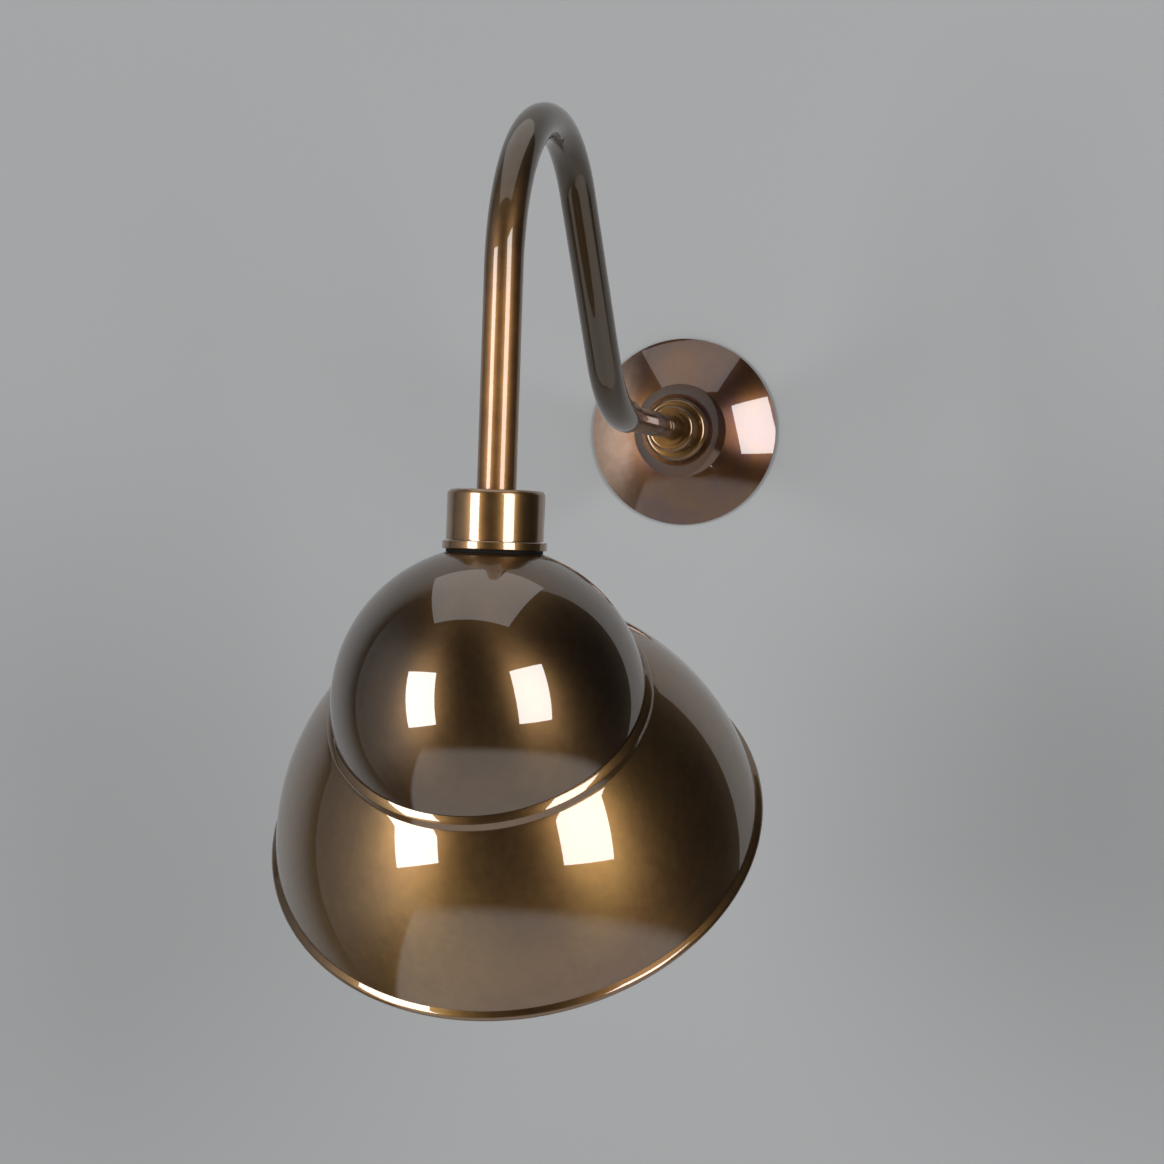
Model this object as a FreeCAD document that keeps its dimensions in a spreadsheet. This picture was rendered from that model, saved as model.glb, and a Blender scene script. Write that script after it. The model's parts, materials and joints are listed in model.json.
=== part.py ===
"""Gooseneck wall sconce in antiqued brass, with a tilted dome-and-bowl shade.

Frame: millimetres.  The origin is where the stem's axis meets the wall.  The wall is the plane
Y = 0, the light stands out along -Y, and +Z is up.  "reach" below means a distance from the wall.
"""
import FreeCAD, Part
import math
import os

import Sketcher

# ------------------------------------------------------------------------------------------------
# Driving dimensions: name: (value, what it is).  Millimetres and degrees.
# ------------------------------------------------------------------------------------------------
SIZES = {
    # gooseneck
    "tube_diameter": (16.0, "outside of the bent brass tube"),
    "tube_wall": (1.5, "wall of the bent tube"),
    "stem_reach": (150.0, "wall to the start of the lower bend"),
    "bend_radius": (70.0, "centreline radius of both bends, made on one former"),
    "rise_angle": (48.0, "how far the lower bend turns the tube upwards"),
    "rise_length": (93.5, "straight run between the bends"),
    "drop_length": (89.0, "straight run down to the cup"),
    "tube_lead": (5.0, "straight end of the tube before the lower bend"),
    # stem
    "stem_diameter": (13.0, "turned stem between the wall bracket and the tube"),
    "stem_bore": (9.0, "bore of the stem, for the wires"),
    "tail_diameter": (10.0, "threaded tail of the stem"),
    "slot_width": (6.0, "side slot where the wires enter the stem"),
    "slot_length": (5.0, "side slot along the stem"),
    "slot_reach": (15.0, "wall to the middle of the side slot"),
    # wall bracket
    "bracket_width": (20.0, "height of the strap"),
    "bracket_length": (88.0, "end to end of the strap"),
    "bracket_sheet": (2.0, "thickness of the strap"),
    "bridge_length": (36.0, "raised middle of the strap"),
    "bridge_lift": (8.0, "wall to the back of the raised middle"),
    "screw_spacing": (70.0, "centres of the two wall screw holes"),
    "screw_hole": (5.0, "diameter of the wall screw holes"),
    "nut_flats": (14.0, "across the flats of the lock nuts"),
    "nut_height": (3.0, "height of the lock nuts"),
    "lock_washer": (0.8, "thickness of the lock washer"),
    "tail_spare": (1.0, "thread that stands out past the nut"),
    "earth_offset": (13.0, "stem axis to the earth screw"),
    "earth_thread": (4.0, "diameter of the earth screw"),
    # wall plate
    "plate_radius": (50.5, "outer edge of the wall plate"),
    "plate_sheet": (1.0, "thickness of the spun sheet"),
    "plate_edge": (1.5, "straight edge that meets the wall"),
    "plate_curve": (88.0, "radius of the convex band"),
    "shoulder_radius": (24.5, "where the cove starts"),
    "shoulder_reach": (12.5, "wall to the start of the cove"),
    "cove_radius": (5.0, "hollow curve up to the crown"),
    "crown_round": (1.0, "rounded edge of the crown"),
    "crown_reach": (19.5, "wall to the crown's face"),
    # collars on the wall plate
    "seat_radius": (17.0, "outside of the seat ring"),
    "seat_height": (7.0, "height of the seat ring"),
    "seat_round": (2.5, "rounded edge of the seat ring"),
    "collar_radius": (12.6, "outside of the locking collar"),
    "collar_height": (12.0, "height of the locking collar"),
    "collar_round": (2.0, "rounded edge of the locking collar"),
    "nose_radius": (9.0, "step at the collar's front"),
    "nose_height": (2.5, "height of that step"),
    "grub_diameter": (4.0, "grub screw in the collar"),
    "slide_gap": (0.3, "radial room of the plate and the seat ring on the stem"),
    "collar_gap": (0.08, "running clearance of the collar on the stem"),
    # terminal block and wires
    "block_length": (18.0, "terminal block, side to side"),
    "block_height": (10.0, "terminal block, up and down"),
    "block_front": (9.0, "wall to the front of the terminal block"),
    "block_back": (1.0, "wall to the back of the terminal block"),
    "wire_diameter": (2.4, "each insulated wire"),
    "wire_offset": (1.5, "stem axis to each wire"),
    "wire_turn": (5.0, "bend of the wires into the stem"),
    "wire_hook": (4.0, "bend of the wires into the terminal block"),
    # cup that hides the top of the lampholder
    "cup_radius": (19.8, "outside of the cup"),
    "cup_height": (20.5, "height of the cup above its flange ring"),
    "cup_wall": (1.2, "wall of the cup"),
    "cup_round": (2.2, "rounded top edge of the cup"),
    "flange_radius": (21.2, "outside of the flange ring"),
    "flange_height": (3.3, "height of the flange ring"),
    "flange_line": (0.3, "fine gap between cup and flange ring"),
    "gasket_radius": (19.6, "outside of the gasket"),
    "gasket_height": (1.2, "thickness of the gasket"),
    # hollow threaded nipple
    "nipple_diameter": (10.0, "outside of the nipple"),
    "nipple_bore": (7.2, "bore of the nipple"),
    "nipple_above": (14.0, "nipple inside the tube's end"),
    "nipple_below": (9.0, "nipple under the tube's end"),
    "plug_height": (12.0, "threaded plug brazed into the tube"),
    # lampholder
    "holder_radius": (17.0, "outside of the lampholder, over its thread"),
    "holder_bore": (14.0, "bore of the lampholder's skirt"),
    "holder_length": (37.0, "lampholder below its cap"),
    "holder_cap_top": (5.0, "tube end to the top of the lampholder's cap"),
    "holder_cap_neck": (8.0, "radius of the cap's threaded neck"),
    "holder_cap_bottom": (20.0, "tube end to the bottom of the cap"),
    "holder_wall": (1.4, "wall of the cap"),
    "insert_height": (12.0, "ceramic insert"),
    "shell_wall": (0.4, "screw shell"),
    "shell_height": (22.0, "height of the screw shell"),
    "shade_ring_height": (5.0, "height of the shade ring"),
    "shade_ring_radius": (20.4, "outside of the shade ring"),
    "thread_gap": (0.05, "running clearance of the shade ring and the bulb's cap"),
    "washer_height": (1.0, "fibre washer above the shade ring"),
    "fit_gap": (0.3, "clearance between parts that move past each other"),
    "snug_gap": (0.05, "clearance between parts that are fixed together"),
    # shade
    "shade_tilt": (43.0, "angle between the shade's axis and the lamp's axis"),
    "shade_sheet": (1.0, "thickness of the spun sheet"),
    "dome_radius": (64.0, "outside of the dome"),
    "dome_seat": (19.6, "radius of the flat seat pressed into the dome"),
    "dome_lip": (1.5, "dome past its own centre, inside the bowl's neck"),
    "band_level": (-3.7, "dome's centre to the top of the band at the bowl's neck, along the axis"),
    "band_step": (2.35, "how far the band's sloping face stands out, and comes down"),
    "band_curve": (8.0, "radius of that face"),
    "neck_step": (2.6, "dome's outside to the crease below the band"),
    "neck_level": (2.4, "dome's centre to the crease, along the axis"),
    "bowl_curve": (116.0, "radius of the bowl's side"),
    "rim_radius": (102.3, "bowl at the middle of its rolled edge"),
    "rim_level": (70.8, "dome's centre to the middle of the rolled edge"),
    "rim_wire": (4.0, "diameter of the rolled edge"),
    # bulb
    "bulb_thread": (13.3, "radius of the bulb's cap"),
    "bulb_tip": (4.5, "radius of the bulb's contact"),
    "bulb_tip_height": (1.5, "height of the bulb's contact"),
    "bulb_cap_height": (25.0, "bulb's cap below the contact"),
    "bulb_wall": (1.0, "wall of the bulb's glass and of its cap"),
    "bulb_radius": (30.0, "largest radius of the glass"),
    "bulb_length": (104.0, "contact to the bottom of the glass"),
}

doc = FreeCAD.newDocument("gooseneck_wall_sconce")
sheet = doc.addObject("Spreadsheet::Sheet", "Sizes")
for row, (alias, (value, note)) in enumerate(SIZES.items(), start=1):
    sheet.set(f"A{row}", alias)
    sheet.set(f"B{row}", str(value))
    sheet.set(f"C{row}", note)
    sheet.setAlias(f"B{row}", alias)
doc.recompute()


class Size:
    """A number that remembers the spreadsheet expression it comes from."""

    def __init__(self, text, value):
        self.text = text
        self.value = value

    def __add__(self, other):
        other = as_size(other)
        return Size(f"({self.text} + {other.text})", self.value + other.value)

    def __sub__(self, other):
        other = as_size(other)
        return Size(f"({self.text} - {other.text})", self.value - other.value)

    def __mul__(self, other):
        other = as_size(other)
        return Size(f"{self.text} * {other.text}", self.value * other.value)

    def __truediv__(self, other):
        other = as_size(other)
        return Size(f"{self.text} / ({other.text})", self.value / other.value)

    def __neg__(self):
        return Size(f"(0 - {self.text})", -self.value)


def as_size(number):
    return number if isinstance(number, Size) else Size(f"({float(number)})", float(number))


def size(alias):
    return Size(f"Sizes.{alias}", float(sheet.get(alias)))


def root(number):
    return Size(f"sqrt({number.text})", math.sqrt(number.value))


def sine(degrees):
    return Size(f"sin({degrees.text})", math.sin(math.radians(degrees.value)))


def cosine(degrees):
    return Size(f"cos({degrees.text})", math.cos(math.radians(degrees.value)))


ZERO = as_size(0)

# ------------------------------------------------------------------------------------------------
# Places that several pieces share
# ------------------------------------------------------------------------------------------------
tube_radius = size("tube_diameter") / 2
tube_bore_radius = tube_radius - size("tube_wall")
stem_radius = size("stem_diameter") / 2
bend = size("bend_radius")
rise_sine = sine(size("rise_angle"))
rise_cosine = cosine(size("rise_angle"))

# Centreline of the arm as (reach, height): stem, lower bend, rise, big bend, drop.
lower_bend_end = (size("stem_reach") + bend * rise_sine, bend - bend * rise_cosine)
rise_end = (
    lower_bend_end[0] + size("rise_length") * rise_cosine,
    lower_bend_end[1] + size("rise_length") * rise_sine,
)
big_bend_centre = (rise_end[0] + bend * rise_sine, rise_end[1] - bend * rise_cosine)
lamp_reach = big_bend_centre[0] + bend
tube_end = big_bend_centre[1] - size("drop_length")

bridge_front = size("bridge_lift") + size("bracket_sheet")
seat_ring_front = size("crown_reach") + size("seat_height")
collar_front = seat_ring_front + size("collar_height")

# Levels below the tube's end, on the lamp's axis.
flange_top = size("cup_height") + size("flange_line")
gasket_top = flange_top + size("flange_height")
seat_level = gasket_top + size("gasket_height")
dome_seat_height = root(size("dome_radius") * size("dome_radius") - size("dome_seat") * size("dome_seat"))
dome_centre = tube_end - seat_level - dome_seat_height
washer_top = seat_level + size("shade_sheet") + size("fit_gap")
insert_top = size("holder_cap_bottom")
insert_bottom = insert_top + size("insert_height")
bulb_top = insert_bottom + size("bulb_tip_height") + size("fit_gap")


# ------------------------------------------------------------------------------------------------
# Ways of making a piece
# ------------------------------------------------------------------------------------------------
def body(label):
    made = doc.addObject("PartDesign::Body", label)
    made.Label = label
    return made


def place(thing, x=ZERO, y=ZERO, z=ZERO, turn=None):
    """Puts a piece at (x, y, z), turned about X by an angle where one is given."""
    angle = turn.value if turn else 0.0
    base = FreeCAD.Vector(x.value, y.value, z.value)
    thing.Placement = FreeCAD.Placement(base, FreeCAD.Rotation(FreeCAD.Vector(1, 0, 0), angle))
    for axis, number in zip("xyz", (x, y, z)):
        if number is not ZERO:
            thing.setExpression(f"Placement.Base.{axis}", number.text)
    if turn:
        thing.setExpression("Placement.Rotation.Angle", turn.text)
    return thing


def sketch_on(owner, role, name, lift=None, tilt=None):
    """A sketch on one of the piece's own planes, lifted along its normal or tilted about X."""
    sketch = owner.newObject("Sketcher::SketchObject", name)
    plane = [f for f in owner.Origin.OriginFeatures if f.Role == role][0]
    sketch.AttachmentSupport = [(plane, "")]
    sketch.MapMode = "FlatFace"
    if lift and not tilt:
        sketch.AttachmentOffset = FreeCAD.Placement(FreeCAD.Vector(0, 0, lift.value), FreeCAD.Rotation())
        sketch.setExpression("AttachmentOffset.Base.z", lift.text)
    if tilt:
        across, along = lift * sine(tilt), lift * cosine(tilt)
        sketch.AttachmentOffset = FreeCAD.Placement(
            FreeCAD.Vector(0, across.value, along.value),
            FreeCAD.Rotation(FreeCAD.Vector(-1, 0, 0), tilt.value),
        )
        sketch.setExpression("AttachmentOffset.Base.y", across.text)
        sketch.setExpression("AttachmentOffset.Base.z", along.text)
        sketch.setExpression("AttachmentOffset.Rotation.Angle", tilt.text)
    return sketch


def bind(sketch, constraint, number):
    index = sketch.addConstraint(constraint)
    sketch.setExpression(f"Constraints[{index}]", number.text)


def arc_between(start, end, radius, side):
    """The shorter arc between two points; side is +1 if its centre lies left of start-to-end."""
    chord = end - start
    depth = math.sqrt(max(radius * radius - chord.Length * chord.Length / 4, 0.0))
    left = FreeCAD.Vector(-chord.y, chord.x, 0).normalize()
    centre = (start + end) / 2 + left * (side * depth)
    if side < 0:
        start, end = end, start
    first = math.atan2(start.y - centre.y, start.x - centre.x)
    last = math.atan2(end.y - centre.y, end.x - centre.x)
    if last < first:
        last += 2 * math.pi
    return Part.ArcOfCircle(Part.Circle(centre, FreeCAD.Vector(0, 0, 1), radius), first, last)


def outline(sketch, corners, arcs=None, closed=True):
    """Lines and arcs through the corners.  arcs: {edge: (radius, side)}, as in arc_between."""
    arcs = arcs or {}
    points = [FreeCAD.Vector(u.value, v.value, 0) for u, v in corners]
    count = len(points) if closed else len(points) - 1
    for edge in range(count):
        start, end = points[edge], points[(edge + 1) % len(points)]
        if edge in arcs:
            radius, side = arcs[edge]
            sketch.addGeometry(arc_between(start, end, radius.value, side), False)
        else:
            sketch.addGeometry(Part.LineSegment(start, end), False)
    # An arc is stored anticlockwise, so one with its centre on the right starts at its end point 2.
    ends = [(2, 1) if edge in arcs and arcs[edge][1] < 0 else (1, 2) for edge in range(count)]
    for edge in range(count):
        u, v = corners[edge]
        first, last = ends[edge]
        bind(sketch, Sketcher.Constraint("DistanceX", -1, 1, edge, first, u.value), u)
        bind(sketch, Sketcher.Constraint("DistanceY", -1, 1, edge, first, v.value), v)
        if closed or edge + 1 < count:
            following = (edge + 1) % count
            sketch.addConstraint(
                Sketcher.Constraint("Coincident", edge, last, following, ends[following][0])
            )
        if edge in arcs:
            bind(sketch, Sketcher.Constraint("Radius", edge, arcs[edge][0].value), arcs[edge][0])
    if not closed:
        u, v = corners[-1]
        last = ends[-1][1]
        bind(sketch, Sketcher.Constraint("DistanceX", -1, 1, count - 1, last, u.value), u)
        bind(sketch, Sketcher.Constraint("DistanceY", -1, 1, count - 1, last, v.value), v)


def circle(sketch, radius, u=ZERO, v=ZERO):
    index = sketch.addGeometry(
        Part.Circle(FreeCAD.Vector(u.value, v.value, 0), FreeCAD.Vector(0, 0, 1), radius.value)
    )
    bind(sketch, Sketcher.Constraint("DistanceX", -1, 1, index, 3, u.value), u)
    bind(sketch, Sketcher.Constraint("DistanceY", -1, 1, index, 3, v.value), v)
    bind(sketch, Sketcher.Constraint("Radius", index, radius.value), radius)


def revolve(owner, name, role, corners, arcs=None):
    """A turned form.  Corners are (radius, distance), the distance counted down the sketch."""
    sketch = sketch_on(owner, role, f"{name}_profile")
    drawn = {edge: (radius, -side) for edge, (radius, side) in (arcs or {}).items()}
    outline(sketch, [(radius, -distance) for radius, distance in corners], drawn)
    feature = owner.newObject("PartDesign::Revolution", name)
    feature.Profile = sketch
    feature.ReferenceAxis = (sketch, ["V_Axis"])
    feature.Angle = 360.0
    return feature


def wall_piece(label, corners, arcs=None):
    """A piece turned about the stem's axis.  Corners are (radius, reach from the wall)."""
    made = body(label)
    revolve(made, f"{label}_turned", "XY_Plane", corners, arcs)
    return made


def lamp_piece(label, corners, arcs=None):
    """A piece turned about the lamp's axis.  Corners are (radius, level below the tube's end)."""
    made = body(label)
    revolve(made, f"{label}_turned", "XZ_Plane", corners, arcs)
    return place(made, y=-lamp_reach, z=tube_end)


def shade_piece(label, corners, arcs=None):
    """A piece spun about the shade's axis.  Corners are (radius, distance past the dome's centre)."""
    made = body(label)
    revolve(made, f"{label}_spun", "XZ_Plane", corners, arcs)
    return place(made, y=-lamp_reach, z=dome_centre, turn=size("shade_tilt"))


def pad(owner, name, sketch, length, reverse=False, both_sides=False):
    feature = owner.newObject("PartDesign::Pad", name)
    feature.Profile = sketch
    feature.setExpression("Length", length.text)
    feature.Reversed = reverse
    feature.SideType = "Symmetric" if both_sides else "One side"
    return feature


def pocket(owner, name, sketch, length, reverse=False):
    feature = owner.newObject("PartDesign::Pocket", name)
    feature.Profile = sketch
    feature.setExpression("Length", length.text)
    feature.Reversed = reverse
    return feature


def cylinder(name, radius, length, x=ZERO, y=ZERO, z=ZERO, along="z"):
    """A cylinder from (x, y, z), up along Z or out from the wall along -Y."""
    made = doc.addObject("Part::Cylinder", name)
    made.setExpression("Radius", radius.text)
    made.setExpression("Height", length.text)
    return place(made, x, y, z, as_size(90) if along == "wall" else None)


def block(name, length, depth, height, x, y, z):
    made = doc.addObject("Part::Box", name)
    made.setExpression("Length", length.text)
    made.setExpression("Width", depth.text)
    made.setExpression("Height", height.text)
    return place(made, x, y, z)


def cut(label, base, tool):
    made = doc.addObject("Part::Cut", label)
    made.Base, made.Tool = base, tool
    made.Label = label
    return made


def fuse(label, first, second):
    made = doc.addObject("Part::Fuse", label)
    made.Base, made.Tool = first, second
    made.Label = label
    return made


def group(label, members):
    made = doc.addObject("Part::Compound", label)
    made.Links = members
    made.Label = label
    return made


def hexagon_nut(label, hole_radius):
    """A hexagon lock nut that stands on its own origin, with its hole along Z."""
    prism = doc.addObject("Part::Prism", f"{label}_hexagon")
    prism.Polygon = 6
    corner_radius = size("nut_flats") / 2 / cosine(as_size(30))
    prism.setExpression("Circumradius", corner_radius.text)
    prism.setExpression("Height", size("nut_height").text)
    return cut(label, prism, cylinder(f"{label}_hole", hole_radius, size("nut_height")))


# ------------------------------------------------------------------------------------------------
# Wall end
# ------------------------------------------------------------------------------------------------
def wall_bracket():
    """Pressed steel strap: two feet on the wall and a raised bridge that carries the stem."""
    made = body("wall_bracket")
    end = size("bracket_length") / 2
    bridge = size("bridge_length") / 2
    sheet_thickness = size("bracket_sheet")
    foot = bridge + sheet_thickness
    lift = size("bridge_lift")
    corners = [
        (-end, ZERO), (-bridge, ZERO), (-bridge, -lift), (bridge, -lift), (bridge, ZERO), (end, ZERO),
        (end, -sheet_thickness), (foot, -sheet_thickness), (foot, -bridge_front),
        (-foot, -bridge_front), (-foot, -sheet_thickness), (-end, -sheet_thickness),
    ]
    profile = sketch_on(made, "XY_Plane", "strap_profile")
    outline(profile, corners)
    pad(made, "strap", profile, size("bracket_width"), both_sides=True)
    holes = sketch_on(made, "XZ_Plane", "strap_holes", lift=bridge_front)
    for side in (-1, 1):
        circle(holes, size("screw_hole") / 2, u=size("screw_spacing") * side / 2)
    circle(holes, size("tail_diameter") / 2 + size("snug_gap"))
    circle(holes, size("earth_thread") / 2, u=size("earth_offset"))
    pocket(made, "strap_drilled", holes, bridge_front)
    return made


def arm_stem():
    """Turned stem: a threaded tail through the bridge, a shoulder in front of it, and a long bore."""
    tail = size("tail_diameter") / 2
    tail_end = size("bridge_lift") - size("lock_washer") - size("nut_height") - size("tail_spare")
    bore = size("stem_bore") / 2
    bore_end = size("slot_reach") - size("slot_length") / 2
    front = size("stem_reach")
    made = wall_piece("arm_stem", [
        (ZERO, tail_end), (tail, tail_end), (tail, bridge_front), (stem_radius, bridge_front),
        (stem_radius, front), (bore, front), (bore, bore_end), (ZERO, bore_end),
    ])
    slot = sketch_on(made, "XY_Plane", "slot_outline")
    half = size("slot_width") / 2
    far = bore_end + size("slot_length")
    outline(slot, [(-half, -far), (half, -far), (half, -bore_end), (-half, -bore_end)])
    pocket(made, "wire_slot", slot, stem_radius, reverse=True)
    return made


def lock_washer():
    """Toothed washer between the nut and the bridge."""
    back = size("bridge_lift") - size("lock_washer")
    hole = size("tail_diameter") / 2 + size("snug_gap")
    rim = size("nut_flats") / 2
    return wall_piece("lock_washer", [
        (hole, back), (rim, back), (rim, size("bridge_lift")), (hole, size("bridge_lift")),
    ])


def arc_centre(start, end, radius):
    """Centre of the arc from start to end that lies to the right of start-to-end."""
    across, along = end[0] - start[0], end[1] - start[1]
    chord = root(across * across + along * along)
    depth = root(radius * radius - chord * chord / 4)
    return (
        (start[0] + end[0]) / 2 + along / chord * depth,
        (start[1] + end[1]) / 2 - across / chord * depth,
    )


def wall_plate():
    """Spun canopy: a straight edge, a convex band, a hollow cove and a flat crown."""
    sheet_thickness = size("plate_sheet")
    curve = size("plate_curve")
    cove = size("cove_radius")
    edge = (size("plate_radius"), size("plate_edge"))
    shoulder = (size("shoulder_radius"), size("shoulder_reach"))
    crown = size("crown_reach")
    crown_radius = shoulder[0] - cove
    hole = stem_radius + size("slide_gap")
    centre = arc_centre(shoulder, edge, curve)
    inner_share = (curve - sheet_thickness) / curve
    inner_edge = (
        centre[0] + (edge[0] - centre[0]) * inner_share,
        centre[1] + (edge[1] - centre[1]) * inner_share,
    )
    corners = [
        (edge[0], ZERO), edge, shoulder, (crown_radius, shoulder[1] + cove),
        (crown_radius, crown - size("crown_round")), (crown_radius - size("crown_round"), crown),
        (hole, crown), (hole, crown - sheet_thickness),
        (crown_radius - sheet_thickness, crown - sheet_thickness),
        (crown_radius - sheet_thickness, shoulder[1] + cove),
        (shoulder[0], shoulder[1] - sheet_thickness), inner_edge, (inner_edge[0], ZERO),
    ]
    return wall_piece("wall_plate", corners, {
        1: (curve, 1), 2: (cove, -1), 4: (size("crown_round"), 1),
        9: (cove + sheet_thickness, 1), 10: (curve - sheet_thickness, -1),
    })


def plate_seat_ring():
    """Turned ring on the plate's crown, with a rounded edge."""
    hole = stem_radius + size("slide_gap")
    back, front = size("crown_reach"), seat_ring_front
    outside, round_edge = size("seat_radius"), size("seat_round")
    return wall_piece("plate_seat_ring", [
        (hole, back), (outside, back), (outside, front - round_edge), (outside - round_edge, front),
        (hole, front),
    ], {2: (round_edge, 1)})


def locking_collar():
    """Turned collar that clamps on the stem and holds the plate to the wall."""
    hole = stem_radius + size("collar_gap")
    outside, nose = size("collar_radius"), size("nose_radius")
    round_edge = size("collar_round")
    nose_front = collar_front + size("nose_height")
    made = wall_piece("locking_collar", [
        (hole, seat_ring_front), (outside, seat_ring_front), (outside, collar_front - round_edge),
        (outside - round_edge, collar_front), (nose, collar_front), (nose, nose_front), (hole, nose_front),
    ], {2: (round_edge, 1)})
    drilling = sketch_on(made, "XY_Plane", "grub_hole")
    circle(drilling, size("grub_diameter") / 2, v=-(seat_ring_front + size("collar_height") / 2))
    pocket(made, "grub_drilling", drilling, outside)
    return made


def collar_screw():
    """Grub screw under the collar, with a hexagon socket."""
    radius = size("grub_diameter") / 2 - size("snug_gap")
    length = size("collar_radius") - stem_radius - size("collar_gap") - size("fit_gap") * 2
    reach = seat_ring_front + size("collar_height") / 2
    bottom = -size("collar_radius") + size("fit_gap")
    screw = cylinder("grub_blank", radius, length, y=-reach, z=bottom)
    socket = doc.addObject("Part::Prism", "grub_socket")
    socket.Polygon = 6
    socket.setExpression("Circumradius", (radius / 2).text)
    socket.setExpression("Height", (length / 2).text)
    place(socket, y=-reach, z=bottom)
    return cut("collar_screw", screw, socket)


def earth_fixing():
    """Earth screw and its cupped washer on the bridge."""
    x = size("earth_offset")
    thread = size("earth_thread") / 2 - size("snug_gap")
    washer_height = size("lock_washer")
    head_height = size("earth_thread") / 2
    shank = cylinder("earth_shank", thread, size("bracket_sheet") + washer_height + size("tail_spare"),
                     x=x, y=-(size("bridge_lift") - size("tail_spare")), along="wall")
    head = cylinder("earth_head", thread * 2, head_height, x=x, y=-(bridge_front + washer_height), along="wall")
    slot_depth = head_height / 2
    slot = block("earth_slot", thread * 4, slot_depth, as_size(0.8), x - thread * 2,
                 -(bridge_front + washer_height + head_height), as_size(-0.4))
    screw = cut("earth_screw", fuse("earth_blank", shank, head), slot)
    rim = cylinder("earth_washer_rim", thread * 2.2, washer_height, x=x, y=-bridge_front, along="wall")
    hole = cylinder("earth_washer_hole", thread + size("snug_gap"), washer_height, x=x, y=-bridge_front,
                    along="wall")
    return [screw, cut("earth_washer", rim, hole)]


def terminal_block():
    """Two-pole connector above the bridge, with its clamp screws in front."""
    half = size("block_length") / 2
    bottom = size("bracket_width") / 2
    depth = size("block_front") - size("block_back")
    case = block("block_case", size("block_length"), depth, size("block_height"), -half, -size("block_front"),
                 bottom)
    spacing = size("block_length") / 4
    screw_radius = size("block_height") / 6
    screw_level = bottom + size("block_height") * 0.7
    wells, screws = [], []
    for side in (-1, 1):
        x = spacing * side
        wells.append(cylinder(f"block_well_{side + 1}", screw_radius + size("fit_gap"), depth / 2, x=x,
                              y=-(size("block_front") - depth / 2), z=screw_level, along="wall"))
        screws.append(cylinder(f"block_screw_{side + 1}", screw_radius, depth / 4, x=x,
                               y=-(size("block_front") - depth / 2), z=screw_level, along="wall"))
    first = cut("block_first_well", case, wells[0])
    return [cut("terminal_block", first, wells[1]), group("terminal_screws", screws)]


# ------------------------------------------------------------------------------------------------
# Gooseneck and wires
# ------------------------------------------------------------------------------------------------
def arm_corners(start):
    """The arm's centreline from a reach on the stem's axis to the tube's end."""
    return [
        (-start, ZERO), (-size("stem_reach"), ZERO), (-lower_bend_end[0], lower_bend_end[1]),
        (-rise_end[0], rise_end[1]), (-lamp_reach, big_bend_centre[1]), (-lamp_reach, tube_end),
    ]


def spine_edges(sketch):
    return [f"Edge{index + 1}" for index in range(len(sketch.Geometry))]


def arm_tube():
    """Brass tube with two bends: up from the stem, then over the top and straight down."""
    made = body("arm_tube")
    start = size("stem_reach") - size("tube_lead")
    ring = sketch_on(made, "XZ_Plane", "tube_ring", lift=start)
    circle(ring, tube_radius)
    circle(ring, tube_bore_radius)
    spine = sketch_on(made, "YZ_Plane", "tube_spine")
    outline(spine, arm_corners(start), {1: (bend, -1), 3: (bend, 1)}, closed=False)
    sweep = made.newObject("PartDesign::AdditivePipe", "tube_sweep")
    sweep.Profile = ring
    sweep.Spine = (spine, spine_edges(spine))
    return made


def wire(label, side):
    """Insulated wire: out of the terminal block, down the side slot and through the whole arm."""
    made = body(label)
    x = size("wire_offset") * side
    turn, hook = size("wire_turn"), size("wire_hook")
    entry = size("block_front")
    leg = size("slot_reach")
    level = turn + hook * 2
    corners = [
        (-entry, level), (-(leg - hook), level), (-leg, level - hook), (-leg, turn),
        (-(leg + turn), ZERO),
    ]
    end = tube_end - insert_top
    corners += arm_corners(leg + turn)[1:-1] + [(-lamp_reach, end)]
    section = sketch_on(made, "XZ_Plane", f"{label}_section", lift=entry)
    circle(section, size("wire_diameter") / 2, v=level)
    spine = sketch_on(made, "YZ_Plane", f"{label}_spine")
    outline(spine, corners, {1: (hook, 1), 3: (turn, -1), 5: (bend, -1), 7: (bend, 1)}, closed=False)
    sweep = made.newObject("PartDesign::AdditivePipe", f"{label}_sweep")
    sweep.Profile = section
    sweep.Spine = (spine, spine_edges(spine))
    return place(made, x=x)


# ------------------------------------------------------------------------------------------------
# Lamp end
# ------------------------------------------------------------------------------------------------
def tube_plug():
    """Threaded plug brazed into the tube's end."""
    outside = tube_bore_radius - size("snug_gap")
    hole = size("nipple_diameter") / 2 + size("snug_gap")
    top = -size("plug_height")
    return lamp_piece("tube_plug", [(hole, ZERO), (outside, ZERO), (outside, top), (hole, top)])


def nipple():
    """Hollow threaded nipple that joins tube, cup and lampholder."""
    outside, bore = size("nipple_diameter") / 2, size("nipple_bore") / 2
    top, bottom = -size("nipple_above"), size("nipple_below")
    return lamp_piece("nipple", [(bore, top), (outside, top), (outside, bottom), (bore, bottom)])


def holder_cup():
    """Turned cup under the tube's end, open below."""
    outside, wall, round_edge = size("cup_radius"), size("cup_wall"), size("cup_round")
    hole = size("nipple_diameter") / 2 + size("snug_gap")
    bottom = size("cup_height")
    return lamp_piece("holder_cup", [
        (hole, ZERO), (outside - round_edge, ZERO), (outside, round_edge), (outside, bottom),
        (outside - wall, bottom), (outside - wall, round_edge), (outside - round_edge, wall), (hole, wall),
    ], {1: (round_edge, 1), 5: (round_edge - wall, -1)})


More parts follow.
